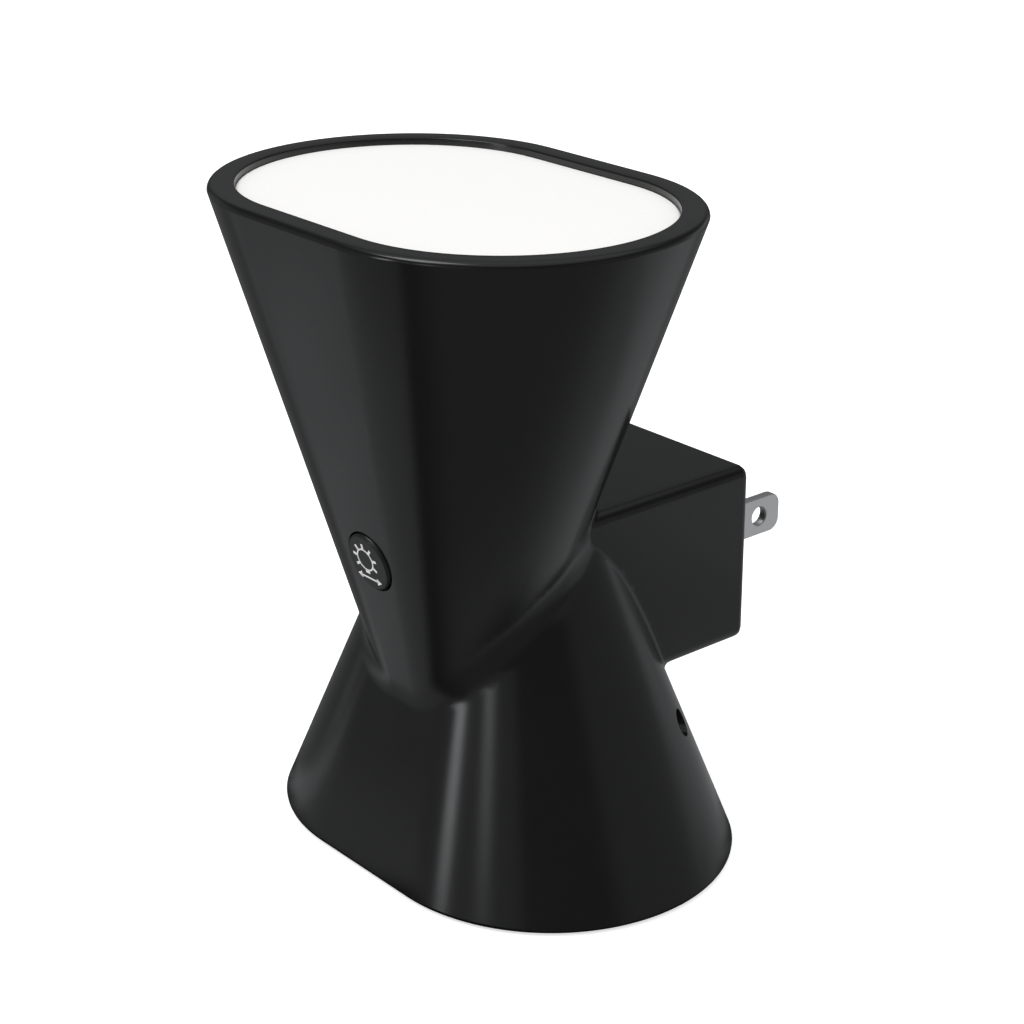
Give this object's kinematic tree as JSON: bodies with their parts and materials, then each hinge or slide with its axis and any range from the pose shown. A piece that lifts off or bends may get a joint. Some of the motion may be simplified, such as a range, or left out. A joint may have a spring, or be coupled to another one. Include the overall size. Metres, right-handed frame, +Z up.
{
  "type": "plug-in night light",
  "caption": "Hourglass plug-in night light with a lit oval diffuser at each end, a front push button, a side light sensor and a rear plug box with flat blades.",
  "frame": {"origin": "on the wall plane, midway between the two plug blades, at the centre of the plug box's rear face", "axes": "+Y along the blades into the wall, +Z up along the body, +X to the right as seen from the room"},
  "size_m": [0.0768, 0.0883, 0.1],
  "materials": {
    "shell_plastic": "satin black",
    "opal_diffuser": "frosted, fine pebble",
    "white_plastic": "matt",
    "led_board": "solder mask",
    "led_package": "matt",
    "screw_steel": "bright",
    "button_plastic": "satin black with a pale mark",
    "component_black": "matt",
    "circuit_board": "solder mask",
    "dark_window": "polished",
    "sleeve_rubber": "matt",
    "photocell_body": "satin",
    "blade_nickel": "satin nickel",
    "capacitor_sleeve": "gloss",
    "film_yellow": "gloss",
    "choke_copper": "enamelled",
    "resistor_tan": "matt",
    "socket_ivory": "matt",
    "lead_red": "satin",
    "lead_white": "satin",
    "lead_blue": "satin",
    "lead_orange": "satin",
    "lead_green": "satin"
  },
  "bodies": {
    "housing": {"body_shell": "shell_plastic", "top_diffuser": "opal_diffuser", "bottom_diffuser": "opal_diffuser", "top_reflector": "white_plastic", "bottom_reflector": "white_plastic", "top_led_board": "led_board", "bottom_led_board": "led_board", "top_leds": "led_package", "bottom_leds": "led_package", "top_board_screws": "screw_steel", "bottom_board_screws": "screw_steel", "switch_housing": "component_black", "switch_cover": "screw_steel", "button_board": "circuit_board", "button_board_screws": "screw_steel", "sensor_window": "dark_window", "sensor_sleeve": "sleeve_rubber", "photocell": "photocell_body", "plug_cover": "shell_plastic", "cover_screws": "screw_steel", "narrow_blade": "blade_nickel", "wide_blade": "blade_nickel", "blade_retainer": "white_plastic", "retainer_screws": "screw_steel", "driver_board": "circuit_board", "upright_capacitor": "capacitor_sleeve", "film_capacitor": "film_yellow", "choke": "choke_copper", "bridge_rectifier": "component_black", "fuse_resistor": "resistor_tan", "driver_chip": "component_black", "control_chip": "component_black", "lead_sockets": "socket_ivory", "live_lead": "lead_red", "neutral_lead": "lead_white", "top_leads": "lead_red", "bottom_leads": "lead_blue", "button_leads": "lead_orange", "sensor_leads": "lead_green"},
    "button": {"button_cap": "button_plastic"},
    "plunger": {"switch_plunger": "component_black"}
  },
  "joints": [
    {"name": "button_press", "type": "slide", "parent": "housing", "child": "button", "axis": [0, 0.9726, 0.2325], "range_m": [0, 0.0005], "stiffness_N_per_m": 800, "springref_m": -0.001},
    {"name": "plunger_press", "type": "slide", "parent": "housing", "child": "plunger", "axis": [0, 0.9726, 0.2325], "range_m": [0, 0.0005]}
  ],
  "couplings": [
    {"joint": "plunger_press", "follows": "button_press", "ratio": 1}
  ]
}
